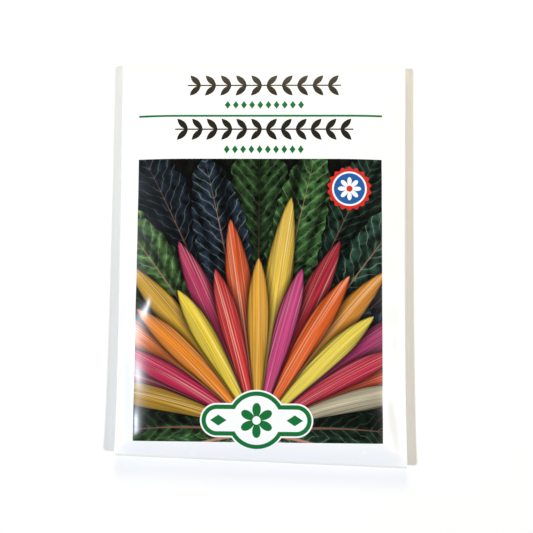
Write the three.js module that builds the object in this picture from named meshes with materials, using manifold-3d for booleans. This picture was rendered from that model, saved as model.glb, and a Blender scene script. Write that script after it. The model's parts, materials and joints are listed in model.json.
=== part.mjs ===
// A sealed paper seed packet that lies on its back, puffed up by the seeds inside it.
// Millimetres, +Z up. Seen from the front, +X is the packet's right and +Y is its top.
// The origin is at the bottom centre of the packet's box, on the surface that it lies on.
import * as THREE from "three";
import { mergeVertices } from "three/addons/utils/BufferGeometryUtils.js";
import Module from "manifold-3d";

// The packet and its paper
const WIDTH = 82.5;
const LENGTH = 114.3; // along the right side, the longer one
const PAPER = 0.15;
const FOLD_RADIUS = 0.5; // outside radius of the left fold
const LAYER_STEP = 0.3; // from one paper layer to the next where two layers are glued

// The folds' flaps
const SIDE_FLAP = 11;
const BOTTOM_FLAP = 12;
const TOP_FLAP = 17;
const FLAP_TAPER = 0.09; // share of a flap's width that is lost at its free edge

// The puffed form. The fold lines stand off the surface by a height at each corner, and the
// front swells above them by its crown. Each panel curves within a reach of a fold, and runs
// level further in. The sides' reach changes from the bottom fold to the top one, because the
// filling makes the low part fuller. It also draws the sides in. The end folds run aslant.
const CORNER_HEIGHT = { topLeft: 2.3, topRight: 2.7, bottomLeft: 3.5, bottomRight: 3.2 };
const FRONT_CROWN = 3;
const FRONT_REACH = { sideLow: 10, sideHigh: 25, bottom: 8, top: 30 };
const BACK_REACH = { sideLow: 16, sideHigh: 16, bottom: 22, top: 45 };
const MITRE_SHARPNESS = 6; // higher gives crisper diagonal creases at the corners
const SIDE_PULL = 0.5;
const SIDE_PULL_SKEW = 0.6; // below 1 puts the most drawn-in place below the middle
const BOTTOM_SKEW = 2.7; // the bottom fold's left end is this much higher than its right end
const TOP_SKEW = 0.7; // and the top fold's

// The glue strips
const GLUE_CLEARANCE = 0.03;
const GLUE_MARGIN_STEPS = 1; // grid steps left bare between a strip and its flap's edges

// The seeds: corky clusters in one layer, heaped in the lower part of the packet
const SEED_RADIUS = 2.85;
const SEED_HALF_HEIGHT = 2.2;
const SEED_PITCH = 4.7;
const SEED_SIZE_SPREAD = 0.12;
const SEED_LUMPINESS = 0.14;
const SEED_CLEARANCE = 0.1;
const HEAP = { x: 0, y: -20, halfWidth: 27, halfLength: 23 };
const HEAP_SQUARENESS = 3;
const RANDOM_SEED = 20;

// The sheet's grid
const FLAP_STEPS = 4;
const MIDDLE_COLUMNS = 10;
const MIDDLE_ROWS = 13;
const FOLD_STEPS = 4; // an even number, so that one station is at the fold's outermost line

// Each fold turns about its own line, set in from the box by the fold's outside radius.
// The right fold is tighter, because its flap lies inside the back panel. The bottom and
// top folds are wider, because their flaps lie outside it.
const TIGHT_RADIUS = FOLD_RADIUS - LAYER_STEP / 2;
const WIDE_RADIUS = FOLD_RADIUS + LAYER_STEP / 2;
const LEFT_FOLD_X = -WIDTH / 2 + FOLD_RADIUS;
const RIGHT_FOLD_X = WIDTH / 2 - TIGHT_RADIUS;
const BOX_LENGTH = LENGTH + TOP_SKEW;
const HIGH_FOLD_Y = BOX_LENGTH / 2 - WIDE_RADIUS;
const LOW_FOLD_Y = -BOX_LENGTH / 2 + WIDE_RADIUS;

const { lerp } = THREE.MathUtils;
const wasm = await Module();
wasm.setup();

function spaced(from, to, steps) {
  return Array.from({ length: steps + 1 }, (_, i) => lerp(from, to, i / steps));
}

// A run of stations through several stops, each stretch with its own number of steps.
function stations(stops, steps) {
  const list = [stops[0]];
  steps.forEach((count, i) => list.push(...spaced(stops[i], stops[i + 1], count).slice(1)));
  return list;
}

// A place on a panel is a column, the share of the way from the left fold to the right one,
// and a row, the share of the way from the bottom fold to the top one.
function bottomFoldY(column) {
  return LOW_FOLD_Y + BOTTOM_SKEW * (1 - column);
}

function topFoldY(column) {
  return HIGH_FOLD_Y - TOP_SKEW * column;
}

function sidePull(row) {
  return SIDE_PULL * Math.sin(Math.PI * row ** SIDE_PULL_SKEW);
}

function placeX(column, row) {
  const pull = sidePull(row);
  return lerp(LEFT_FOLD_X + pull, RIGHT_FOLD_X - pull, column);
}

function placeY(column, row) {
  return lerp(bottomFoldY(column), topFoldY(column), row);
}

function foldHeight(column, row) {
  const bottom = lerp(CORNER_HEIGHT.bottomLeft, CORNER_HEIGHT.bottomRight, column);
  const top = lerp(CORNER_HEIGHT.topLeft, CORNER_HEIGHT.topRight, column);
  return lerp(bottom, top, row);
}

// 1 on the folds, falling to 0 where the panel runs level.
function nearFold(column, row, reach) {
  const width = placeX(1, row) - placeX(0, row);
  const length = topFoldY(column) - bottomFoldY(column);
  const nearness = [
    1 - (Math.min(column, 1 - column) * width) / lerp(reach.sideLow, reach.sideHigh, row),
    1 - (row * length) / reach.bottom,
    1 - ((1 - row) * length) / reach.top,
  ];
  const sum = nearness.reduce((all, near) => all + Math.max(0, near) ** MITRE_SHARPNESS, 0);
  return Math.min(1, sum ** (1 / MITRE_SHARPNESS));
}

// Height of the front panel's outside.
function frontZ(column, row) {
  const near = nearFold(column, row, FRONT_REACH);
  return foldHeight(column, row) + FOLD_RADIUS + FRONT_CROWN * (1 - near ** 2);
}

// Height of the back panel's outside: level on the surface in the middle.
function backZ(column, row) {
  const near = nearFold(column, row, BACK_REACH);
  return (foldHeight(column, row) - FOLD_RADIUS) * near ** 2;
}

// A spot on a sheet holds the point on its outside and the point through its thickness.
function frontSpot(column, row) {
  const x = placeX(column, row);
  const y = placeY(column, row);
  const z = frontZ(column, row);
  return { outer: [x, y, z], inner: [x, y, z - PAPER] };
}

// A layer at the back, raised above the back panel's outside by lift.
function backSpot(column, row, lift, thickness) {
  const x = placeX(column, row);
  const y = placeY(column, row);
  const z = backZ(column, row) + lift;
  return { outer: [x, y, z], inner: [x, y, z + thickness] };
}

// A spot on a fold: angle 0 is level with the front panel, and half a turn is at the back.
function sideFoldSpot(angle, row, column, outward, radius, lift) {
  const lineX = placeX(column, row);
  const y = placeY(column, row);
  const z = foldHeight(column, row) + lift;
  const at = (r) => [lineX + outward * r * Math.sin(angle), y, z + r * Math.cos(angle)];
  return { outer: at(radius), inner: at(radius - PAPER) };
}

function endFoldSpot(column, angle, row, outward) {
  const x = placeX(column, row);
  const lineY = placeY(column, row);
  const z = foldHeight(column, row) - LAYER_STEP / 2;
  const at = (r) => [x, lineY + outward * r * Math.sin(angle), z + r * Math.cos(angle)];
  return { outer: at(WIDE_RADIUS), inner: at(WIDE_RADIUS - PAPER) };
}

// An end flap lies outside the back panel and narrows from its fold to its free edge.
function endFlapSpot(column, row, foldRow, freeRow) {
  const out = (row - foldRow) / (freeRow - foldRow);
  const narrowed = lerp(column, 0.5, FLAP_TAPER * out);
  return backSpot(narrowed, row, -LAYER_STEP, PAPER);
}

// A thin sheet made of patches of grid cells. Patches that meet share their vertices, and
// both faces are split into triangles alike. Edges with a cell on one side only get a wall.
class Sheet {
  spots = [];
  ids = new Map();
  cells = [];

  idOf(spot) {
    const key = [...spot.outer, ...spot.inner].map((v) => v.toFixed(3)).join(" ");
    if (!this.ids.has(key)) {
      this.ids.set(key, this.spots.length);
      this.spots.push(spot);
    }
    return this.ids.get(key);
  }

  // Seen from outside, columns run left to right and rows run bottom to top.
  add(columns, rows, spotAt) {
    const grid = columns.map((column) => rows.map((row) => this.idOf(spotAt(column, row))));
    for (let i = 0; i + 1 < columns.length; i++) {
      for (let j = 0; j + 1 < rows.length; j++) {
        this.cells.push([grid[i][j], grid[i + 1][j], grid[i + 1][j + 1], grid[i][j + 1]]);
      }
    }
  }

  borderEdges() {
    const edges = new Map();
    for (const cell of this.cells) {
      cell.forEach((from, k) => {
        const to = cell[(k + 1) % 4];
        if (!edges.delete(`${to} ${from}`)) edges.set(`${from} ${to}`, [from, to]);
      });
    }
    return [...edges.values()];
  }

  geometry() {
    const count = this.spots.length;
    const triangles = [];
    for (const [a, b, c, d] of this.cells) {
      triangles.push(a, b, c, a, c, d);
      triangles.push(a + count, c + count, b + count, a + count, d + count, c + count);
    }
    for (const [from, to] of this.borderEdges()) {
      triangles.push(to, from, from + count, to, from + count, to + count);
    }
    const points = [...this.spots.map((s) => s.outer), ...this.spots.map((s) => s.inner)];
    const geometry = new THREE.BufferGeometry();
    geometry.setAttribute("position", new THREE.Float32BufferAttribute(points.flat(), 3));
    geometry.setIndex(triangles);
    geometry.computeVertexNormals();
    return geometry;
  }
}

// Grid stations across the panels and along them, finer where the flaps are
const SIDE_FLAP_COLUMN = SIDE_FLAP / (RIGHT_FOLD_X - LEFT_FOLD_X);
const COLUMNS = stations(
  [0, SIDE_FLAP_COLUMN, 1 - SIDE_FLAP_COLUMN, 1],
  [FLAP_STEPS, MIDDLE_COLUMNS, FLAP_STEPS],
);
const PANEL_LENGTH = topFoldY(0.5) - bottomFoldY(0.5);
const BOTTOM_FLAP_ROW = BOTTOM_FLAP / PANEL_LENGTH;
const TOP_FLAP_ROW = 1 - TOP_FLAP / PANEL_LENGTH;
const ROWS = stations([0, BOTTOM_FLAP_ROW, TOP_FLAP_ROW, 1], [FLAP_STEPS, MIDDLE_ROWS, FLAP_STEPS]);
const TURN_TO_BACK = spaced(0, Math.PI, FOLD_STEPS);
const TURN_TO_FRONT = TURN_TO_BACK.toReversed();

// Columns of the layers at the back run from right to left, as seen from the front. The back
// panel stops one step short of the right fold.
const BACK_COLUMNS = COLUMNS.slice(0, -1).toReversed();
const SIDE_FLAP_COLUMNS = COLUMNS.slice(-FLAP_STEPS - 1).toReversed();
const BOTTOM_FLAP_ROWS = ROWS.slice(0, FLAP_STEPS + 1).toReversed();
const TOP_FLAP_ROWS = ROWS.slice(-FLAP_STEPS - 1).toReversed();

// The whole packet is one cut blank: panels, folds and flaps in one sheet.
function envelopeGeometry() {
  const sheet = new Sheet();
  sheet.add(COLUMNS, ROWS, frontSpot);
  sheet.add(TURN_TO_FRONT, ROWS, (angle, row) => sideFoldSpot(angle, row, 0, -1, FOLD_RADIUS, 0));
  sheet.add(BACK_COLUMNS, ROWS, (column, row) => backSpot(column, row, 0, PAPER));
  sheet.add(TURN_TO_BACK, ROWS, (angle, row) =>
    sideFoldSpot(angle, row, 1, 1, TIGHT_RADIUS, LAYER_STEP / 2),
  );
  sheet.add(SIDE_FLAP_COLUMNS, ROWS, (column, row) => backSpot(column, row, LAYER_STEP, PAPER));
  sheet.add(COLUMNS, TURN_TO_FRONT, (column, angle) => endFoldSpot(column, angle, 0, -1));
  sheet.add(COLUMNS, BOTTOM_FLAP_ROWS, (column, row) => endFlapSpot(column, row, 0, BOTTOM_FLAP_ROW));
  sheet.add(COLUMNS, TURN_TO_BACK, (column, angle) => endFoldSpot(column, angle, 1, 1));
  sheet.add(COLUMNS, TOP_FLAP_ROWS, (column, row) => endFlapSpot(column, row, 1, TOP_FLAP_ROW));
  return sheet.geometry();
}

// A film of glue between two layers. It keeps to the sheet's own grid lines, so its facets
// run beside the paper's. bottom is the height of the gap's lower face above the back panel.
function glueGeometry(columns, rows, bottom) {
  const thickness = LAYER_STEP - PAPER - 2 * GLUE_CLEARANCE;
  const lift = bottom + GLUE_CLEARANCE;
  const sheet = new Sheet();
  sheet.add(columns, rows, (column, row) => backSpot(column, row, lift, thickness));
  return sheet.geometry();
}

function withoutMargin(list) {
  return list.slice(GLUE_MARGIN_STEPS, -GLUE_MARGIN_STEPS);
}

// Small seeded generator of numbers from 0 to 1.
function randomNumbers(seed) {
  let state = seed;
  return () => {
    state = (Math.imul(state, 1664525) + 1013904223) >>> 0;
    return state / 2 ** 32;
  };
}

// The geometry's vertices must be shared between its triangles.
function asSolid(geometry) {
  return new wasm.Manifold(
    new wasm.Mesh({
      numProp: 3,
      vertProperties: geometry.getAttribute("position").array,
      triVerts: new Uint32Array(geometry.index.array),
    }),
  );
}

function asGeometry(solid) {
  const mesh = solid.getMesh();
  const geometry = new THREE.BufferGeometry();
  geometry.setAttribute("position", new THREE.BufferAttribute(mesh.vertProperties, 3));
  geometry.setIndex(new THREE.BufferAttribute(mesh.triVerts, 1));
  geometry.computeVertexNormals();
  return geometry;
}

// Height of the back panel's inside at a point. The row is first found on the middle column.
function insideFloor(x, y) {
  const nearRow = (y - bottomFoldY(0.5)) / PANEL_LENGTH;
  const column = (x - placeX(0, nearRow)) / (placeX(1, nearRow) - placeX(0, nearRow));
  const row = (y - bottomFoldY(column)) / (topFoldY(column) - bottomFoldY(column));
  return backZ(column, row) + PAPER;
}

// The highest floor under the four corners of a seed.
function floorUnder(x, y) {
  const corners = [-1, 1].flatMap((i) => [-1, 1].map((j) => [x + i * SEED_RADIUS, y + j * SEED_RADIUS]));
  return Math.max(...corners.map(([cornerX, cornerY]) => insideFloor(cornerX, cornerY)));
}

// One angular seed cluster that rests on the inside of the back panel.
function seedGeometry(x, y, random) {
  const size = () => 1 + SEED_SIZE_SPREAD * (2 * random() - 1);
  const ball = new THREE.IcosahedronGeometry(1, 0);
  ball.deleteAttribute("normal").deleteAttribute("uv");
  const geometry = mergeVertices(ball);
  const corners = geometry.getAttribute("position");
  const corner = new THREE.Vector3();
  for (let i = 0; i < corners.count; i++) {
    corner.fromBufferAttribute(corners, i).multiplyScalar(1 - SEED_LUMPINESS * random());
    corners.setXYZ(i, ...corner);
  }
  geometry.rotateX(Math.PI * random()).rotateZ(2 * Math.PI * random());
  const halfHeight = SEED_HALF_HEIGHT * size();
  geometry.scale(SEED_RADIUS * size(), SEED_RADIUS * size(), halfHeight);
  geometry.translate(x, y, floorUnder(x, y) + SEED_CLEARANCE + halfHeight);
  return geometry;
}

function inHeap(x, y) {
  const across = Math.abs((x - HEAP.x) / HEAP.halfWidth);
  const along = Math.abs((y - HEAP.y) / HEAP.halfLength);
  return across ** HEAP_SQUARENESS + along ** HEAP_SQUARENESS < 1;
}

// Seeds on a staggered grid, sunk into their neighbours. A seed that misses them all is dropped.
function seedsGeometry() {
  const random = randomNumbers(RANDOM_SEED);
  const rowPitch = (SEED_PITCH * Math.sqrt(3)) / 2;
  const rowCount = Math.ceil(HEAP.halfLength / rowPitch);
  const columnCount = Math.ceil(HEAP.halfWidth / SEED_PITCH) + 1;
  let heap = null;
  for (let row = -rowCount; row <= rowCount; row++) {
    const stagger = row % 2 ? SEED_PITCH / 2 : 0;
    for (let column = -columnCount; column <= columnCount; column++) {
      const x = HEAP.x + column * SEED_PITCH + stagger;
      const y = HEAP.y + row * rowPitch;
      if (!inHeap(x, y)) continue;
      const seed = asSolid(seedGeometry(x, y, random));
      heap = heap ? heap.add(seed) : seed;
    }
  }
  const bodies = heap.decompose().toSorted((a, b) => b.volume() - a.volume());
  return asGeometry(bodies[0]);
}

function paperMaterial() {
  return new THREE.MeshStandardMaterial({ color: 0xf7f7f4, roughness: 0.35, metalness: 0 });
}

function glueMaterial() {
  return new THREE.MeshStandardMaterial({ color: 0xe8e0c6, roughness: 0.5, metalness: 0 });
}

function seedMaterial() {
  return new THREE.MeshStandardMaterial({ color: 0x8b6a45, roughness: 0.9, metalness: 0 });
}

function named(name, geometry, material) {
  const mesh = new THREE.Mesh(geometry, material);
  mesh.name = name;
  return mesh;
}

const sideGlueColumns = withoutMargin(SIDE_FLAP_COLUMNS);
const endGlueColumns = withoutMargin(withoutMargin(BACK_COLUMNS));
const packet = new THREE.Group();
packet.add(
  named("envelope", envelopeGeometry(), paperMaterial()),
  named("side_seam_glue", glueGeometry(sideGlueColumns, withoutMargin(ROWS), PAPER), glueMaterial()),
  named(
    "bottom_flap_glue",
    glueGeometry(endGlueColumns, withoutMargin(BOTTOM_FLAP_ROWS).toReversed(), PAPER - LAYER_STEP),
    glueMaterial(),
  ),
  named(
    "top_flap_glue",
    glueGeometry(endGlueColumns, withoutMargin(TOP_FLAP_ROWS).toReversed(), PAPER - LAYER_STEP),
    glueMaterial(),
  ),
  named("seeds", seedsGeometry(), seedMaterial()),
);

export default packet;
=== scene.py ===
"""Looks of a sealed paper seed packet that lies on its back: paper form, print, seeds, light."""
import json
import math

import bmesh
import bpy
import numpy as np
from mathutils import Matrix, Vector, noise

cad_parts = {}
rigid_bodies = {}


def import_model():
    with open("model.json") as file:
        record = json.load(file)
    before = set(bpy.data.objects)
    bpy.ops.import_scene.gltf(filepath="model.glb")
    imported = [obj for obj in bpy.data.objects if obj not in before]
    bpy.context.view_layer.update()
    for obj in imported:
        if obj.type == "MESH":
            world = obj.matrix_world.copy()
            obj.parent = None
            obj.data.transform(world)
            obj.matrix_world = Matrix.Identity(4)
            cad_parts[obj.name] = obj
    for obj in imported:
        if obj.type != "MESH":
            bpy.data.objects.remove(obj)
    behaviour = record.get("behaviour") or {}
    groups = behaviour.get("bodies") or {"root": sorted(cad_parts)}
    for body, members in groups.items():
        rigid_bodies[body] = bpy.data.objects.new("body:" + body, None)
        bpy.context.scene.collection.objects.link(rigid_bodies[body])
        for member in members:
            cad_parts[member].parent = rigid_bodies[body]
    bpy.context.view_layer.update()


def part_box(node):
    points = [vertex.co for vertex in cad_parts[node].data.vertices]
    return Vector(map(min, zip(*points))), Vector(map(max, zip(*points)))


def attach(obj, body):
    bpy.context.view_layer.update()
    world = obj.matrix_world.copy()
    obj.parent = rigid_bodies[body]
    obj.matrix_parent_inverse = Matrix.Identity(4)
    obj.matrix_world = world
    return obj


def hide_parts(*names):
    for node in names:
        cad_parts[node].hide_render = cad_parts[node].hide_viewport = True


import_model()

MM = 0.001
LOWEST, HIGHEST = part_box("envelope")

# The packet and its paper, in millimetres. Seen from the front, +X is right and +Y is the top.
WIDTH = (HIGHEST[0] - LOWEST[0]) / MM
LENGTH = (HIGHEST[1] - LOWEST[1]) / MM
PAPER = 0.15
FOLD_RADIUS = 0.5
LAYER_STEP = 0.3  # from one paper layer to the next where two layers are glued
SIDE_FLAP = 11.0
BOTTOM_FLAP = 12.0
TOP_FLAP = 17.0
FLAP_TAPER = 0.09  # share of a flap's width that is lost at its free edge

# The puffed form: heights of the fold lines at the corners, and how far each panel curves
# inwards from its folds. The filling draws the sides in, and the end folds run aslant.
CORNER_HEIGHT = {"top_left": 2.3, "top_right": 2.7, "bottom_left": 3.5, "bottom_right": 3.2}
FRONT_CROWN = 3.0
FRONT_REACH = {"side_low": 10.0, "side_high": 25.0, "bottom": 8.0, "top": 30.0}
BACK_REACH = {"side_low": 16.0, "side_high": 16.0, "bottom": 22.0, "top": 45.0}
MITRE_SHARPNESS = 5
SIDE_PULL = 0.5
SIDE_PULL_SKEW = 0.6  # below 1 puts the most drawn-in place below the middle
BOTTOM_SKEW = 2.7  # the bottom fold's left end is this much higher than its right end
TOP_SKEW = 0.7  # and the top fold's

# Fine relief of the front panel, which dies out at the folds
RELIEF_REACH = 10  # higher takes the relief nearer to the folds
PUCKER_HEIGHT = 0.16
PUCKER_REACH = 7.0
PUCKER_WAVES = [(23.0, 0.4), (14.0, 2.1), (37.0, 4.4)]  # wavelength and phase
PUCKER_SIDE_SHIFT = 1.7  # of the phase, from the left side to the right one
SEED_LUMP_HEIGHT = 0.10
SEED_LUMP_RADIUS = 2.0
DENTS = [
    # x, y, half length, half width, turn from upright in degrees, depth (below 0 it is a bump)
    (38.6, -22.0, 3.6, 0.9, 12, 0.50),
    (38.3, -43.9, 8.0, 1.8, -8, 0.70),
    (38.6, -3.4, 11.0, 1.5, 2, 0.35),
    (-38.8, -36.4, 12.0, 1.6, -5, 0.80),
    (-30.6, -10.0, 4.6, 3.6, 0, -1.0),
    (-39.0, 1.6, 9.0, 1.6, 3, 0.20),
    (39.0, 19.6, 10.0, 1.5, -2, 0.18),
]

# The glue films and the seeds
GLUE_CLEARANCE = 0.03
GLUE_MARGIN = 2  # grid steps left bare between a film and its flap's edges
SEED_RADIUS = 2.3
SEED_HALF_HEIGHT = 2.1
SEED_PITCH = 4.75
SEED_SIZE_SPREAD = 0.05
SEED_LUMPINESS = 0.16
HUSK_SUBDIVISIONS = 3
HUSK_LUMPS = 1.6  # noise scale of a seed's angular form
HUSK_WRINKLES = 5.0  # and of its wrinkles
HUSK_WRINKLE_SHARE = 0.35
NOISE_RANGE = 50.0  # each seed takes its noise from a random place within this
SEED_CLEARANCE = 0.1
HEAP = {"x": 0.0, "y": -20.0, "half_width": 27.0, "half_length": 23.0}
HEAP_SQUARENESS = 3
RANDOM_SEED = 20

# Grid steps of the fine sheet, about 1 mm each on the panels
SIDE_FLAP_STEPS = 11
BOTTOM_FLAP_STEPS = 14
TOP_FLAP_STEPS = 16
MIDDLE_COLUMNS = 56
MIDDLE_ROWS = 78
FOLD_STEPS = 8
SHARP_ANGLE = math.radians(50)

# Each fold turns about its own line, set in from the box by the fold's outside radius.
TIGHT_RADIUS = FOLD_RADIUS - LAYER_STEP / 2
WIDE_RADIUS = FOLD_RADIUS + LAYER_STEP / 2
LEFT_FOLD_X = -WIDTH / 2 + FOLD_RADIUS
RIGHT_FOLD_X = WIDTH / 2 - TIGHT_RADIUS
HIGH_FOLD_Y = LENGTH / 2 - WIDE_RADIUS
LOW_FOLD_Y = -LENGTH / 2 + WIDE_RADIUS


def lerp(start, end, share):
    return start + (end - start) * share


def stations(stops, steps):
    """A run of stations through several stops, each stretch with its own number of steps."""
    stretches = [np.linspace(a, b, n + 1)[:-1] for a, b, n in zip(stops, stops[1:], steps)]
    return np.concatenate(stretches + [np.array(stops[-1:])])


# A place on a panel is a column, the share of the way from the left fold to the right one,
# and a row, the share of the way from the bottom fold to the top one.
def bottom_fold_y(column):
    return LOW_FOLD_Y + BOTTOM_SKEW * (1 - column)


def top_fold_y(column):
    return HIGH_FOLD_Y - TOP_SKEW * column


def side_pull(row):
    return SIDE_PULL * np.sin(np.pi * row**SIDE_PULL_SKEW)


def place_x(column, row):
    pull = side_pull(row)
    return lerp(LEFT_FOLD_X + pull, RIGHT_FOLD_X - pull, column)


def place_y(column, row):
    return lerp(bottom_fold_y(column), top_fold_y(column), row)


def fold_height(column, row):
    bottom = lerp(CORNER_HEIGHT["bottom_left"], CORNER_HEIGHT["bottom_right"], column)
    top = lerp(CORNER_HEIGHT["top_left"], CORNER_HEIGHT["top_right"], column)
    return lerp(bottom, top, row)


def side_distance(column, row):
    """Distance from the nearer side fold."""
    return np.minimum(column, 1 - column) * (place_x(1, row) - place_x(0, row))


def near_fold(column, row, reach):
    """1 on the folds, falling to 0 where the panel runs level."""
    length = top_fold_y(column) - bottom_fold_y(column)
    nearness = [
        1 - side_distance(column, row) / lerp(reach["side_low"], reach["side_high"], row),
        1 - row * length / reach["bottom"],
        1 - (1 - row) * length / reach["top"],
    ]
    total = sum(np.maximum(0, near) ** MITRE_SHARPNESS for near in nearness)
    return np.minimum(1, total ** (1 / MITRE_SHARPNESS))


def seed_places():
    """Centres of the seeds, on a staggered grid within the heap's outline."""
    row_pitch = SEED_PITCH * math.sqrt(3) / 2
    row_count = math.ceil(HEAP["half_length"] / row_pitch)
    column_count = math.ceil(HEAP["half_width"] / SEED_PITCH) + 1
    places = []
    for row in range(-row_count, row_count + 1):
        stagger = SEED_PITCH / 2 if row % 2 else 0
        for column in range(-column_count, column_count + 1):
            across = column * SEED_PITCH + stagger
            along = row * row_pitch
            spread = abs(across / HEAP["half_width"]) ** HEAP_SQUARENESS
            spread += abs(along / HEAP["half_length"]) ** HEAP_SQUARENESS
            if spread < 1:
                places.append((HEAP["x"] + across, HEAP["y"] + along))
    return places


SEED_PLACES = seed_places()


def seed_lumps(x, y):
    """Low bumps where the seeds press on the front panel."""
    lumps = [np.exp(-((x - a) ** 2 + (y - b) ** 2) / SEED_LUMP_RADIUS**2) for a, b in SEED_PLACES]
    return SEED_LUMP_HEIGHT * sum(lumps)


def puckers(column, row, y):
    """Waves along the side folds that die out inwards."""
    side = np.where(column < 0.5, 0.0, PUCKER_SIDE_SHIFT)
    waves = sum(np.sin(2 * np.pi * y / length + phase + side) for length, phase in PUCKER_WAVES)
    return PUCKER_HEIGHT * waves * np.exp(-side_distance(column, row) / PUCKER_REACH)


def dents(x, y):
    """Soft hollows and bumps of the front panel."""
    depth = np.zeros_like(x)
    for dent_x, dent_y, half_length, half_width, turn, most in DENTS:
        sine, cosine = math.sin(math.radians(turn)), math.cos(math.radians(turn))
        along = ((y - dent_y) * cosine + (x - dent_x) * sine) / half_length
        across = ((x - dent_x) * cosine - (y - dent_y) * sine) / half_width
        depth += most * np.exp(-(along**2) - across**2)
    return depth


def front_z(column, row):
    """Height of the front panel's outside."""
    x, y = place_x(column, row), place_y(column, row)
    near = near_fold(column, row, FRONT_REACH)
    relief = seed_lumps(x, y) + puckers(column, row, y) - dents(x, y)
    swell = FRONT_CROWN * (1 - near**2) + relief * (1 - near**RELIEF_REACH)
    return fold_height(column, row) + FOLD_RADIUS + swell


def back_z(column, row):
    """Height of the back panel's outside: level on the surface in the middle."""
    near = near_fold(column, row, BACK_REACH)
    return (fold_height(column, row) - FOLD_RADIUS) * near**2


# A spot function gives the points on a sheet's outside and those through its thickness.
def front_spots(column, row):
    x, y, z = place_x(column, row), place_y(column, row), front_z(column, row)
    return (x, y, z), (x, y, z - PAPER)


def back_spots(lift, thickness):
    """A layer at the back, raised above the back panel's outside by lift."""

    def spots(column, row):
        x, y, z = place_x(column, row), place_y(column, row), back_z(column, row) + lift
        return (x, y, z), (x, y, z + thickness)

    return spots


def side_fold_spots(column, outward, radius, lift):
    """Angle 0 is level with the front panel, and half a turn is at the back."""

    def spots(angle, row):
        line_x, y = place_x(column, row), place_y(column, row)
        line_z = fold_height(column, row) + lift

        def at(r):
            return line_x + outward * r * np.sin(angle), y, line_z + r * np.cos(angle)

        return at(radius), at(radius - PAPER)

    return spots


def end_fold_spots(row, outward):
    def spots(column, angle):
        x, line_y = place_x(column, row), place_y(column, row)
        line_z = fold_height(column, row) - LAYER_STEP / 2

        def at(r):
            return x, line_y + outward * r * np.sin(angle), line_z + r * np.cos(angle)

        return at(WIDE_RADIUS), at(WIDE_RADIUS - PAPER)

    return spots


def end_flap_spots(fold_row, free_row):
    """An end flap lies outside the back panel and narrows from its fold to its free edge."""
    layer = back_spots(-LAYER_STEP, PAPER)

    def spots(column, row):
        out = (row - fold_row) / (free_row - fold_row)
        return layer(lerp(column, 0.5, FLAP_TAPER * out), row)

    return spots


class Sheet:
    """A thin sheet made of patches of grid cells that share the vertices where they meet."""

    def __init__(self):
        self.outer = []
        self.inner = []
        self.ids = {}
        self.cells = []
        self.printed = []

    def id_of(self, outer, inner):
        key = tuple(np.round(np.concatenate([outer, inner]), 3) + 0.0)
        if key not in self.ids:
            self.ids[key] = len(self.outer)
            self.outer.append(outer)
            self.inner.append(inner)
        return self.ids[key]

    def add(self, columns, rows, spots, printed=False):
        """Seen from outside, columns run left to right and rows run bottom to top."""
        first, second = np.meshgrid(columns, rows, indexing="ij")
        faces = [np.stack(np.broadcast_arrays(*face), axis=-1) for face in spots(first, second)]
        outer, inner = (face.reshape(-1, 3) for face in faces)
        ids = np.array([self.id_of(a, b) for a, b in zip(outer, inner)]).reshape(first.shape)
        for i in range(len(columns) - 1):
            for j in range(len(rows) - 1):
                self.cells.append((ids[i, j], ids[i + 1, j], ids[i + 1, j + 1], ids[i, j + 1]))
                self.printed.append(printed)

    def border_edges(self):
        """Edges with a cell on one side only."""
        edges = {}
        for cell in self.cells:
            for start, end in zip(cell, cell[1:] + cell[:1]):
                if edges.pop((end, start), None) is None:
                    edges[start, end] = True
        return list(edges)

    def object(self, name, printed_material, plain_material):
        count = len(self.outer)
        faces = [list(cell) for cell in self.cells]
        faces += [[corner + count for corner in reversed(cell)] for cell in self.cells]
        faces += [[b, a, a + count, b + count] for a, b in self.border_edges()]
        points = np.array(self.outer + self.inner) * MM
        mesh = bpy.data.meshes.new(name)
        mesh.from_pydata(points.tolist(), [], [[int(corner) for corner in face] for face in faces])
        mesh.materials.append(plain_material)
        if printed_material:
            mesh.materials.append(printed_material)
            for polygon, printed in zip(mesh.polygons, self.printed):
                polygon.material_index = int(printed)
        mesh.shade_smooth()
        mesh.set_sharp_from_angle(angle=SHARP_ANGLE)
        return link(bpy.data.objects.new(name, mesh))


def link(obj):
    bpy.context.scene.collection.objects.link(obj)
    return obj


def dress(piece, node):
    """The piece stands for a solid of the frame and takes that solid's place."""
    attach(piece, "root")
    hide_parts(node)


# Grid stations across the panels and along them
SIDE_FLAP_COLUMN = SIDE_FLAP / (RIGHT_FOLD_X - LEFT_FOLD_X)
COLUMNS = stations(
    [0, SIDE_FLAP_COLUMN, 1 - SIDE_FLAP_COLUMN, 1],
    [SIDE_FLAP_STEPS, MIDDLE_COLUMNS, SIDE_FLAP_STEPS],
)
PANEL_LENGTH = top_fold_y(0.5) - bottom_fold_y(0.5)
BOTTOM_FLAP_ROW = BOTTOM_FLAP / PANEL_LENGTH
TOP_FLAP_ROW = 1 - TOP_FLAP / PANEL_LENGTH
ROWS = stations(
    [0, BOTTOM_FLAP_ROW, TOP_FLAP_ROW, 1],
    [BOTTOM_FLAP_STEPS, MIDDLE_ROWS, TOP_FLAP_STEPS],
)
TURN_TO_BACK = np.linspace(0, np.pi, FOLD_STEPS + 1)
TURN_TO_FRONT = TURN_TO_BACK[::-1]

# Columns of the layers at the back run from right to left, as seen from the front. The back
# panel stops short of the right fold.
BACK_PANEL_GAP = 3
BACK_COLUMNS = COLUMNS[:-BACK_PANEL_GAP][::-1]
SIDE_FLAP_COLUMNS = COLUMNS[-SIDE_FLAP_STEPS - 1 :][::-1]
BOTTOM_FLAP_ROWS = ROWS[: BOTTOM_FLAP_STEPS + 1]
TOP_FLAP_ROWS = ROWS[-TOP_FLAP_STEPS - 1 :]


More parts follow.
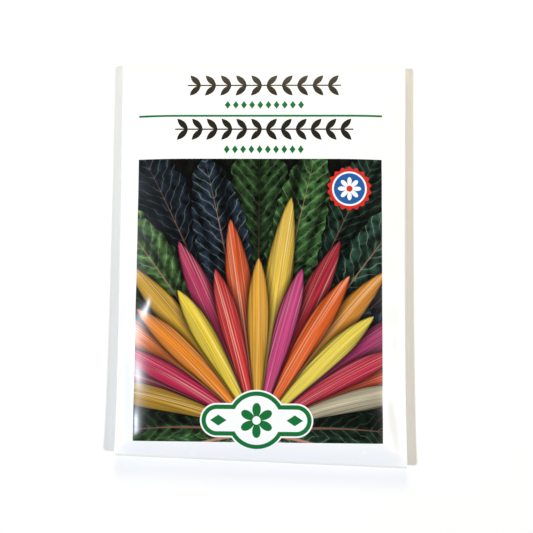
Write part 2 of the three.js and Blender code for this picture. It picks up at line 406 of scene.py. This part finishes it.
def make_envelope(printed_material, plain_material):
    """The whole packet is one cut blank: panels, folds and flaps in one sheet."""
    sheet = Sheet()
    sheet.add(COLUMNS, ROWS, front_spots, printed=True)
    sheet.add(TURN_TO_FRONT, ROWS, side_fold_spots(0, -1, FOLD_RADIUS, 0))
    sheet.add(BACK_COLUMNS, ROWS, back_spots(0, PAPER))
    sheet.add(TURN_TO_BACK, ROWS, side_fold_spots(1, 1, TIGHT_RADIUS, LAYER_STEP / 2))
    sheet.add(SIDE_FLAP_COLUMNS, ROWS, back_spots(LAYER_STEP, PAPER))
    sheet.add(COLUMNS, TURN_TO_FRONT, end_fold_spots(0, -1))
    sheet.add(COLUMNS, BOTTOM_FLAP_ROWS[::-1], end_flap_spots(0, BOTTOM_FLAP_ROW))
    sheet.add(COLUMNS, TURN_TO_BACK, end_fold_spots(1, 1))
    sheet.add(COLUMNS, TOP_FLAP_ROWS[::-1], end_flap_spots(1, TOP_FLAP_ROW))
    dress(sheet.object("packet_paper", printed_material, plain_material), "envelope")


def make_glue(name, node, columns, rows, bottom, material):
    """A film of glue between two layers, over the height bottom above the back panel's outside."""
    inside = slice(GLUE_MARGIN, -GLUE_MARGIN)
    thickness = LAYER_STEP - PAPER - 2 * GLUE_CLEARANCE
    sheet = Sheet()
    sheet.add(columns[inside], rows[inside], back_spots(bottom + GLUE_CLEARANCE, thickness))
    dress(sheet.object(name, None, material), node)


def make_glues(material):
    covered_columns = SIDE_FLAP_COLUMNS[BACK_PANEL_GAP - 1 :]
    end_columns = BACK_COLUMNS[SIDE_FLAP_STEPS:-SIDE_FLAP_STEPS]
    outside = PAPER - LAYER_STEP
    films = [
        ("side_seam", covered_columns, ROWS, PAPER),
        ("bottom_flap", end_columns, BOTTOM_FLAP_ROWS, outside),
        ("top_flap", end_columns, TOP_FLAP_ROWS, outside),
    ]
    for name, columns, rows, bottom in films:
        make_glue(f"{name}_film", f"{name}_glue", columns, rows, bottom, material)


def inside_floor(x, y):
    """Height of the back panel's inside at a point."""
    near_row = (y - bottom_fold_y(0.5)) / PANEL_LENGTH
    column = (x - place_x(0, near_row)) / (place_x(1, near_row) - place_x(0, near_row))
    row = (y - bottom_fold_y(column)) / (top_fold_y(column) - bottom_fold_y(column))
    return back_z(column, row) + PAPER


def husk_shrink(place, offset):
    """How far a point of a seed's ball is drawn in, as a share of its radius."""
    lump = noise.noise(place * HUSK_LUMPS + offset)
    wrinkle = noise.noise(place * HUSK_WRINKLES + offset)
    return SEED_LUMPINESS * (0.5 + lump + HUSK_WRINKLE_SHARE * wrinkle)


def make_seeds(material):
    """Corky seed clusters in one layer, each a wrinkled angular ball on the back panel."""
    random = np.random.default_rng(RANDOM_SEED)
    mesh = bmesh.new()
    for x, y in SEED_PLACES:
        size = 1 + SEED_SIZE_SPREAD * random.uniform(-1, 1, 3)
        offset = Vector(random.uniform(-NOISE_RANGE, NOISE_RANGE, 3))
        made = bmesh.ops.create_icosphere(mesh, subdivisions=HUSK_SUBDIVISIONS, radius=1)
        reach = np.array([SEED_RADIUS, SEED_RADIUS, SEED_HALF_HEIGHT]) * size
        corners = [(x + i * reach[0], y + j * reach[1]) for i in (-1, 1) for j in (-1, 1)]
        floor = max(inside_floor(*corner) for corner in corners)
        centre = Vector((x, y, floor + SEED_CLEARANCE + reach[2]))
        for vertex in made["verts"]:
            shrunk = vertex.co * (1 - husk_shrink(vertex.co, offset))
            vertex.co = (centre + Vector(reach * np.array(shrunk))) * MM
    data = bpy.data.meshes.new("seed_heap")
    mesh.to_mesh(data)
    mesh.free()
    data.materials.append(material)
    data.shade_smooth()
    dress(link(bpy.data.objects.new("seed_heap", data)), "seeds")


# Materials


class Field:
    """A number that varies over a surface: a node's output, which sums can be written with."""

    def __init__(self, tree, socket):
        self.tree = tree
        self.socket = socket

    def math(self, operation, *others):
        node = self.tree.nodes.new("ShaderNodeMath")
        node.operation = operation
        for socket, value in zip(node.inputs, (self, *others)):
            feed(socket, value)
        return Field(self.tree, node.outputs[0])

    def __add__(self, other):
        return self.math("ADD", other)

    def __sub__(self, other):
        return self.math("SUBTRACT", other)

    def __rsub__(self, other):
        return self.math("MULTIPLY_ADD", -1, other)

    def __mul__(self, other):
        return self.math("MULTIPLY", other)

    def __truediv__(self, other):
        return self.math("DIVIDE", other)

    def __pow__(self, other):
        return self.math("POWER", other)

    def __abs__(self):
        return self.math("ABSOLUTE")

    def least(self, other):
        return self.math("MINIMUM", other)

    def most(self, other):
        return self.math("MAXIMUM", other)

    def above(self, level):
        """1 where the field is over level, and 0 elsewhere."""
        return self.math("GREATER_THAN", level)

    def sine(self):
        return self.math("SINE")

    def cosine(self):
        return self.math("COSINE")

    def ramp(self, low, high):
        """0 at low, 1 at high, straight in between."""
        node = self.tree.nodes.new("ShaderNodeMapRange")
        for name, value in (("Value", self), ("From Min", low), ("From Max", high)):
            feed(node.inputs[name], value)
        return Field(self.tree, node.outputs[0])


def feed(socket, value):
    if isinstance(value, Field):
        value.tree.links.new(value.socket, socket)
    else:
        socket.default_value = value


def root_sum(a, b):
    return (a * a + b * b).math("SQRT")


def noise_of(tree, x, y, z, detail=3.0):
    """Smooth random field, about 0 to 1, of three numbers."""
    joined = tree.nodes.new("ShaderNodeCombineXYZ")
    for socket, value in zip(joined.inputs, (x, y, z)):
        feed(socket, value)
    node = tree.nodes.new("ShaderNodeTexNoise")
    node.inputs["Scale"].default_value = 1.0
    node.inputs["Detail"].default_value = detail
    tree.links.new(joined.outputs[0], node.inputs["Vector"])
    return Field(tree, node.outputs["Fac"])


def random_of(tree, number):
    """A random number from 0 to 1 for each whole number."""
    node = tree.nodes.new("ShaderNodeTexWhiteNoise")
    node.noise_dimensions = "1D"
    feed(node.inputs["W"], number)
    return Field(tree, node.outputs["Value"])


def lay(below, mask, above):
    """Colour above where mask is 1, and colour below where it is 0."""
    tree = next(value.tree for value in (below, mask, above) if isinstance(value, Field))
    node = tree.nodes.new("ShaderNodeMix")
    node.data_type = "RGBA"
    feed(node.inputs[0], mask)
    feed(node.inputs[6], below)
    feed(node.inputs[7], above)
    return Field(tree, node.outputs[2])


def tint(colour, strength):
    """A colour made lighter or darker by a field."""
    node = strength.tree.nodes.new("ShaderNodeVectorMath")
    node.operation = "SCALE"
    feed(node.inputs[0], colour if isinstance(colour, Field) else colour[:3])
    feed(node.inputs["Scale"], strength)
    return Field(strength.tree, node.outputs[0])


def pick(number, colours):
    """One colour of a list for each whole number from 0."""
    node = number.tree.nodes.new("ShaderNodeValToRGB")
    ramp = node.color_ramp
    ramp.interpolation = "CONSTANT"
    while len(ramp.elements) < len(colours):
        ramp.elements.new(1.0)
    for element, (i, colour) in zip(ramp.elements, enumerate(colours)):
        element.position = max(0, (i - 0.5) / len(colours))
        element.color = colour
    feed(node.inputs[0], number / len(colours))
    return Field(number.tree, node.outputs[0])


EXPOSURE = 1.15  # how much brighter than its own colour the lamps show a level surface


def ink(code):
    """A colour as it is to look under the lamps, from its hexadecimal code."""
    parts = [int(code[i : i + 2], 16) / 255 for i in (0, 2, 4)]
    linear = [((p + 0.055) / 1.055) ** 2.4 if p > 0.04 else p / 12.92 for p in parts]
    return (*(part / EXPOSURE for part in linear), 1.0)


PAPER_WHITE = (0.865, 0.88, 0.895, 1.0)
WORN_WHITE = (0.80, 0.80, 0.775, 1.0)  # unprinted paper, and the rubbed folds
HEADING_INK = ink("29231e")
GREEN_INK = ink("17743a")
RED_INK = ink("d8322c")
BLUE_INK = ink("2a62a8")
GROUND_INK = ink("14160f")
FAN_INKS = [
    ink(code)
    for code in (
        "d4572c", "e9b53c", "c22a55", "ea8a2a", "f0d24a", "d03a3c", "e3a63a",
        "cf4f86", "e8672c", "f2da5c", "c42f4c", "ece0c0", "de6a34",
    )
]
REAR_FAN_INKS = [
    ink(code)
    for code in (
        "a8342c", "d98c2a", "9c2348", "e0742c", "cfa036", "b23a60", "d85a30",
        "e6c04a", "b02c3c", "dd9138", "a83a6c", "d6502e", "c98a34", "a02a3a",
    )
]
LEAF_INKS = [
    ink(code)
    for code in (
        "4a7340", "2c4a44", "5b8148", "2f3c50", "4d7a44",
        "34584a", "3c4c60", "56803f", "2e4f3c",
    )
]
VEIN_INK = ink("a9c49a")
RIB_INK = ink("d79a86")
CREAM_INK = ink("fff0d2")
GLUE_DARK = (0.55, 0.46, 0.28, 1.0)
GLUE_LIGHT = (0.80, 0.74, 0.58, 1.0)
HUSK_DARK = (0.16, 0.09, 0.04, 1.0)
HUSK_LIGHT = (0.52, 0.37, 0.20, 1.0)
FLOOR_WHITE = (0.90, 0.90, 0.90, 1.0)

# Gloss of the paper: its lowest roughness, and how much that varies
PRINT_ROUGHNESS = 0.21
PLAIN_ROUGHNESS = 0.36
GLOSS_SPREAD = 0.10
PRINT_SPECULAR = 0.35

# The print's places on the front panel, in millimetres
PANEL = {"x": -0.70, "y": -10.59, "half_width": 34.72, "half_height": 39.76}
FAN_BASE_Y = -37.0  # of the fan's root, from the panel's middle
FAN_DROOP = 0.0022  # share of its angle that an arm gains with each millimetre
BLADE_FILL = 0.92  # share of the room between its neighbours that a blade takes
BLADE_ROUNDING = 2.5  # of the edge where a blade begins to narrow
BLADE_ARMS = 5.2  # arms each way from the middle that hold a blade

# How a blade's or leaf's half width swells from its root and falls to its tip, and the share
# of its length that varies from arm to arm
BLADE_FORM = {"rise": 0.6, "fall": 0.7, "swell": 2.45, "spread": 0.16}
LEAF_FORM = {"rise": 1.1, "fall": 0.5, "swell": 2.2, "spread": 0.12}

# Noise scales along an arm and across it, a step from arm to arm with its start, and detail
FIBRE_GRAIN = (0.035, 2.2, 7.3, 0.0, 4.0)
GLEAM_GRAIN = (0.025, 3.4, 3.7, 40.0, 2.0)
BLOTCH_GRAIN = (0.45, 0.45, 3.1, 0.0, 5.0)

LEAF_RINGS = [
    # step and shift of the arms, reach, half width, brightness
    (19.0, 0.0, 86.0, 10.5, 0.34),
    (19.0, 0.5, 77.0, 9.0, 0.72),
    (15.0, 0.5, 47.0, 6.5, 0.80),
]
BLADE_RINGS = [
    # step and shift of the arms, reach, half width, inks
    (13.5, 0.5, 62.0, 4.5, REAR_FAN_INKS),
    (13.5, 0.0, 48.0, 4.0, FAN_INKS),
]
RULE = {"x": -0.74, "y": 41.80, "half_width": 34.9, "half_height": 0.30}
GARLANDS = [(0.42, 51.05, 4.42, 5), (0.49, 37.81, 4.24, 6)]  # x, y, leaf pitch, leaves a side
LOZENGE_ROWS = [(0.52, 45.09), (0.47, 31.90)]
SEAL = {"x": 24.8, "y": 20.65, "radius": 6.3}
PLAQUE = {"x": -0.92, "y": -44.30, "half_width": 15.7, "half_height": 4.7, "disc": 8.4}


def new_material(name):
    material = bpy.data.materials.new(name)
    material.use_nodes = True
    tree = material.node_tree
    return material, tree, tree.nodes["Principled BSDF"]


def place_fields(tree):
    """The place on the surface, in millimetres."""
    spot = tree.nodes.new("ShaderNodeTexCoord")
    split = tree.nodes.new("ShaderNodeSeparateXYZ")
    tree.links.new(spot.outputs["Object"], split.inputs[0])
    return [Field(tree, output) * (1 / MM) for output in split.outputs]


def box_depth(x, y, box):
    """Distance inside the edge of an upright box."""
    return (box["half_width"] - abs(x - box["x"])).least(box["half_height"] - abs(y - box["y"]))


def grain_of(tree, number, along, beside, grain):
    """Random streaks or blotches on the arms of a fan, different on each arm."""
    along_scale, across_scale, arm_step, start, detail = grain
    arm = number * arm_step + start
    return noise_of(tree, along * along_scale, beside * across_scale, arm, detail)


def form_width(share, form, half_width):
    """Half width of a blade or leaf at a share of its length."""
    rise = share ** form["rise"]
    fall = (1 - share) ** form["fall"]
    return rise * fall * (form["swell"] * half_width)


def fan_places(tree, angle, radius, step, shift, reach, spread):
    """Places on the arms of a fan that spread from its root, a step apart, and droop outwards.

    Gives each arm's number, and the place along it, beside its middle line and as a share of it.
    """
    turn = math.radians(step)
    bend = 1 - radius * FAN_DROOP
    number = (angle * bend / turn - shift).math("ROUND")
    local = angle - (number + shift) * turn / bend
    along = radius * local.cosine()
    beside = radius * local.sine()
    length = random_of(tree, number + reach) * (spread * reach) + (1 - spread / 2) * reach
    share = (along / length).most(0.0).least(1.0)
    return number, along, beside, share


def blade_ring(tree, angle, radius, step, shift, reach, half_width, inks):
    """Pointed streaked blades. Gives the distance inside their edges, and their colour."""
    cream_share = 0.55
    gleam_share = 0.75
    arms = (step, shift, reach, BLADE_FORM["spread"])
    number, along, beside, share = fan_places(tree, angle, radius, *arms)
    across = abs(beside)
    room = along * (math.tan(math.radians(step / 2)) * BLADE_FILL)
    width = form_width(share, BLADE_FORM, half_width).math("SMOOTH_MIN", room, BLADE_ROUNDING)
    depth = (width - across).least(BLADE_ARMS - abs(number + shift))
    ridge = 1 - (across / width.most(0.01)).least(1.0) ** 2
    fibres = grain_of(tree, number, along, beside, FIBRE_GRAIN).ramp(0.30, 0.70)
    gleams = grain_of(tree, number, along, beside, GLEAM_GRAIN).ramp(0.54, 0.70)
    own = pick(number + len(inks) // 2, inks)
    strength = ridge * 0.55 + fibres * 0.65 + 0.05
    colour = tint(own, strength * depth.ramp(-0.15, 0.5))
    light = lay(own, cream_share, CREAM_INK)
    return depth, lay(colour, gleams * ridge * gleam_share, light)


def leaf_ring(tree, angle, radius, step, shift, reach, half_width, brightness):
    """Broad veined leaves with waved edges. Gives the distance inside them, and their colour."""
    vein_slant = 1.2
    vein_turn = 0.95  # of the veins' phase for each millimetre along the leaf
    vein_waver = 5.0
    vein_width = 0.22
    vein_share = 0.55
    rib_half_width = 0.6
    arms = (step, shift, reach, LEAF_FORM["spread"])
    number, along, beside, share = fan_places(tree, angle, radius, *arms)
    across = abs(beside)
    waver = noise_of(tree, along * 0.25, number * 5.1, 3.0)
    ruffle = (along * 1.3 + number).sine() * 0.05 + waver * 0.5 + 0.75
    depth = form_width(share, LEAF_FORM, half_width) * ruffle - across
    blotch = grain_of(tree, number, along, beside, BLOTCH_GRAIN).ramp(0.35, 0.75)
    phase = (along - across * vein_slant) * vein_turn + waver * vein_waver
    veins = abs(phase.sine()).ramp(vein_width, 0.0)
    hollow = (phase * 2).cosine() * 0.25 + 0.8
    rib = (1.1 - share - across / rib_half_width).ramp(0.0, 0.5)
    own = pick(number + len(LEAF_INKS) // 2, LEAF_INKS)
    colour = tint(own, (blotch * 2.0 + 0.08) * hollow * brightness)
    colour = lay(colour, veins * (vein_share * brightness), VEIN_INK)
    return depth, lay(colour, rib * brightness, RIB_INK)


def under_shadow(colour, depth, reach=2.0, darkest=0.16):
    """Darkens a colour just outside the edge of what lies over it."""
    return tint(colour, (depth * -1).ramp(0.0, reach) * (1 - darkest) + darkest)


def picture(tree, x, y):
    """A fan of coloured blades over dark leaves."""
    across = x - PANEL["x"]
    up = y - (PANEL["y"] + FAN_BASE_Y)
    angle = across.math("ARCTAN2", up)
    radius = root_sum(across, up)
    speckle = noise_of(tree, x * 0.4, y * 0.4, 0.0, 5.0)
    colour = tint(GROUND_INK, speckle.ramp(0.3, 0.8) * 1.6)
    rings = [leaf_ring(tree, angle, radius, *ring) for ring in LEAF_RINGS]
    rings += [blade_ring(tree, angle, radius, *ring) for ring in BLADE_RINGS]
    for depth, over in rings:
        colour = lay(under_shadow(colour, depth), depth.above(0.0), over)
    return colour


def garland_depth(x, y, middle_x, middle_y, pitch, count):
    """A leafy stem that runs both ways from its middle, with leaves above and below."""
    leaf_half_length = 2.25
    leaf_half_width = 0.85
    stem_half_width = 0.2
    lift = 1.5  # of a leaf's middle above the stem
    turn = math.radians(46)  # of a leaf from the stem
    out = abs(x - middle_x)
    up = abs(y - middle_y)
    local = out.math("MODULO", pitch) - pitch / 2
    along = local * math.cos(turn) + (up - lift) * math.sin(turn)
    across = (up - lift) * math.cos(turn) - local * math.sin(turn)
    leaf = (1 - (along / leaf_half_length) ** 2) * leaf_half_width - abs(across)
    stem = stem_half_width - up
    return leaf.most(stem).least(count * pitch - out)


def lozenge_depth(x, y, middle_x, middle_y):
    """A row of small lozenges."""
    pitch = 2.34
    count = 5  # each way from the middle
    half_width = 0.85
    half_height = 1.2
    out = abs(x - middle_x)
    local = abs(out.math("MODULO", pitch) - pitch / 2)
    lozenge = 1 - local / half_width - abs(y - middle_y) / half_height
    return lozenge.least(count * pitch - out)


def lay_seal(colour, x, y):
    """A round scalloped seal with a white flower on blue. Its rings are shares of its radius."""
    scallops = 18
    petal_pairs = 4
    rings = ((0.78, PAPER_WHITE), (0.70, BLUE_INK))
    flower_eye = 0.14
    across, up = x - SEAL["x"], y - SEAL["y"]
    share = root_sum(across, up) / SEAL["radius"]
    angle = across.math("ARCTAN2", up)
    rim = (angle * scallops).cosine() * 0.05 + 0.95
    petals = abs((angle * petal_pairs).cosine()) ** 0.6 * 0.42 + 0.1
    colour = lay(colour, (rim - share).above(0.0), RED_INK)
    for edge, fill in rings:
        colour = lay(colour, (edge - share).above(0.0), fill)
    colour = lay(colour, (petals - share).above(0.0), PAPER_WHITE)
    return lay(colour, (flower_eye - share).above(0.0), RED_INK)


def lay_plaque(colour, x, y):
    """A white plaque with round ends and a round middle, outlined and decorated in green."""
    borders = ((0.0, PAPER_WHITE), (0.45, GREEN_INK), (1.65, PAPER_WHITE))
    petal_pairs = 3
    petal_reach = 3.6
    flower_root = 1.2
    flower_eye = 1.15
    lozenge_size = {"x": 10.6, "half_width": 2.3, "half_height": 1.5}
    straight = PLAQUE["half_width"] - PLAQUE["half_height"]
    across, up = abs(x - PLAQUE["x"]), y - PLAQUE["y"]
    bar = PLAQUE["half_height"] - root_sum((across - straight).most(0.0), up)
    radius = root_sum(across, up)
    depth = bar.most(PLAQUE["disc"] - radius)
    angle = across.math("ARCTAN2", up)
    for edge, fill in borders:
        colour = lay(colour, depth.above(edge), fill)
    flower = abs((angle * petal_pairs).cosine()) ** 0.7 * petal_reach + flower_root
    beside = abs(across - lozenge_size["x"]) / lozenge_size["half_width"]
    lozenge = 1 - beside - abs(up) / lozenge_size["half_height"]
    colour = lay(colour, (flower - radius).above(0.0), GREEN_INK)
    colour = lay(colour, (flower_eye - radius).above(0.0), PAPER_WHITE)
    return lay(colour, lozenge.above(0.0), GREEN_INK)


def add_bump(tree, shader, height, strength, distance):
    bump = tree.nodes.new("ShaderNodeBump")
    bump.inputs["Strength"].default_value = strength
    bump.inputs["Distance"].default_value = distance * MM
    feed(bump.inputs["Height"], height)
    tree.links.new(bump.outputs[0], shader.inputs["Normal"])


def even_noise(tree, x, y, z, scale, detail):
    """Noise with the same scale each way."""
    return noise_of(tree, x * scale, y * scale, z * scale, detail)


def finish_paper(tree, shader, x, y, z, smoothest):
    """Coated paper: fine tooth, and gloss that varies a little."""
    cloud = even_noise(tree, x, y, z, 0.12, 3.0)
    tooth = even_noise(tree, x, y, z, 5.0, 2.0)
    feed(shader.inputs["Roughness"], cloud * GLOSS_SPREAD + smoothest)
    add_bump(tree, shader, tooth, strength=0.25, distance=0.01)


def printed_paper():
    material, tree, shader = new_material("printed paper")
    x, y, z = place_fields(tree)
    colour = lay(PAPER_WHITE, box_depth(x, y, PANEL).above(0.0), picture(tree, x, y))
    colour = lay(colour, box_depth(x, y, RULE).above(0.0), GREEN_INK)
    for garland in GARLANDS:
        colour = lay(colour, garland_depth(x, y, *garland).above(0.0), HEADING_INK)
    for row in LOZENGE_ROWS:
        colour = lay(colour, lozenge_depth(x, y, *row).above(0.0), GREEN_INK)
    colour = lay_seal(colour, x, y)
    colour = lay_plaque(colour, x, y)
    feed(shader.inputs["Base Color"], colour)
    shader.inputs["Specular IOR Level"].default_value = PRINT_SPECULAR
    finish_paper(tree, shader, x, y, z, PRINT_ROUGHNESS)
    return material


def plain_paper():
    material, tree, shader = new_material("plain paper")
    x, y, z = place_fields(tree)
    fibre = noise_of(tree, x * 1.5, y * 0.5, z, 4.0)
    feed(shader.inputs["Base Color"], tint(WORN_WHITE, fibre * 0.06 + 0.97))
    finish_paper(tree, shader, x, y, z, PLAIN_ROUGHNESS)
    return material


def dried_glue():
    material, tree, shader = new_material("dried glue")
    x, y, z = place_fields(tree)
    smear = noise_of(tree, x * 0.3, y * 1.2, z, 4.0)
    feed(shader.inputs["Base Color"], lay(GLUE_DARK, smear, GLUE_LIGHT))
    feed(shader.inputs["Roughness"], smear * 0.3 + 0.3)
    return material


def seed_husk():
    material, tree, shader = new_material("seed husk")
    x, y, z = place_fields(tree)
    cork = even_noise(tree, x, y, z, 1.2, 6.0)
    patch = even_noise(tree, x, y, z, 0.2, 2.0)
    colour = lay(HUSK_DARK, cork, HUSK_LIGHT)
    feed(shader.inputs["Base Color"], tint(colour, patch * 0.6 + 0.7))
    feed(shader.inputs["Roughness"], cork * 0.2 + 0.75)
    add_bump(tree, shader, cork, strength=0.6, distance=0.2)
    return material


# Floor, light and camera
FLOOR_DROP = 0.05 * MM
FLOOR_RADIUS = 1.8  # of the level middle, in metres
RIM_HEIGHT = 0.4  # of the floor's rim, which sweeps up round the scene
FLOOR_SIDES = 96
RIM_STEPS = 16
LAMPS = [
    # name, direction, distance, size, power, colour
    ("left lamp", (-0.85, -0.15, 1.0), 2.4, 0.24, 44.1, (0.825, 0.897, 1.0)),
    ("right lamp", (0.97, -0.25, 1.0), 2.4, 0.24, 32.9, (1.0, 0.951, 0.912)),
    ("top fill", (0.0, 1.0, 0.65), 0.45, 0.2, 0.88, (1.0, 0.876, 0.53)),
]
WORLD_LIGHT = 0.05
FIELD_OF_VIEW = 35.0
CAMERA_TILT = -4.34
CAMERA_PAN = -1.66
CAMERA_ROLL = -0.30
CAMERA_OFFSET = Vector((-1.33, 1.05, -244.0)) * MM


def floor_mesh():
    """A round level floor whose rim sweeps up in a quarter circle."""
    points = []
    for turn in np.linspace(0, np.pi / 2, RIM_STEPS + 1):
        radius = FLOOR_RADIUS + RIM_HEIGHT * math.sin(turn)
        height = RIM_HEIGHT * (1 - math.cos(turn)) - FLOOR_DROP
        for side in range(FLOOR_SIDES):
            angle = 2 * math.pi * side / FLOOR_SIDES
            points.append((radius * math.cos(angle), radius * math.sin(angle), height))
    faces = [tuple(range(FLOOR_SIDES))]
    for step in range(RIM_STEPS):
        low, high = step * FLOOR_SIDES, (step + 1) * FLOOR_SIDES
        for side in range(FLOOR_SIDES):
            after = (side + 1) % FLOOR_SIDES
            faces.append((low + side, high + side, high + after, low + after))
    mesh = bpy.data.meshes.new("floor")
    mesh.from_pydata(points, [], faces)
    mesh.shade_smooth()
    return mesh


def make_floor():
    mesh = floor_mesh()
    material, tree, shader = new_material("pale floor")
    x, y, _ = place_fields(tree)
    cloud = noise_of(tree, x * 0.02, y * 0.02, 0.0, 2.0)
    feed(shader.inputs["Base Color"], tint(FLOOR_WHITE, cloud * 0.04 + 0.97))
    shader.inputs["Roughness"].default_value = 0.8
    shader.inputs["Specular IOR Level"].default_value = 0.2
    mesh.materials.append(material)
    link(bpy.data.objects.new("floor", mesh))


def add_lamp(name, direction, distance, size, power, colour):
    data = bpy.data.lights.new(name, "AREA")
    data.shape = "DISK"
    data.size = size
    data.energy = power
    data.color = colour
    lamp = link(bpy.data.objects.new(name, data))
    lamp.location = Vector(direction).normalized() * distance
    lamp.rotation_euler = (-lamp.location).to_track_quat("-Z", "Y").to_euler()


def make_light():
    for lamp in LAMPS:
        add_lamp(*lamp)
    world = bpy.data.worlds.new("world")
    world.use_nodes = True
    background = world.node_tree.nodes["Background"]
    background.inputs["Color"].default_value = (1.0, 1.0, 1.0, 1.0)
    background.inputs["Strength"].default_value = WORLD_LIGHT
    bpy.context.scene.world = world
    bpy.context.scene.view_settings.view_transform = "Standard"


def add_camera():
    data = bpy.data.cameras.new("camera")
    data.angle = math.radians(FIELD_OF_VIEW)
    data.clip_start = 0.01
    camera = link(bpy.data.objects.new("camera", data))
    turns = ((CAMERA_ROLL, "Z"), (CAMERA_PAN, "Y"), (CAMERA_TILT, "X"))
    roll, pan, tilt = (Matrix.Rotation(math.radians(angle), 4, axis) for angle, axis in turns)
    camera.matrix_world = (Matrix.Translation(CAMERA_OFFSET) @ roll @ pan @ tilt).inverted()
    bpy.context.scene.camera = camera


add_camera()
make_light()
make_floor()
make_envelope(printed_paper(), plain_paper())
make_glues(dried_glue())
make_seeds(seed_husk())
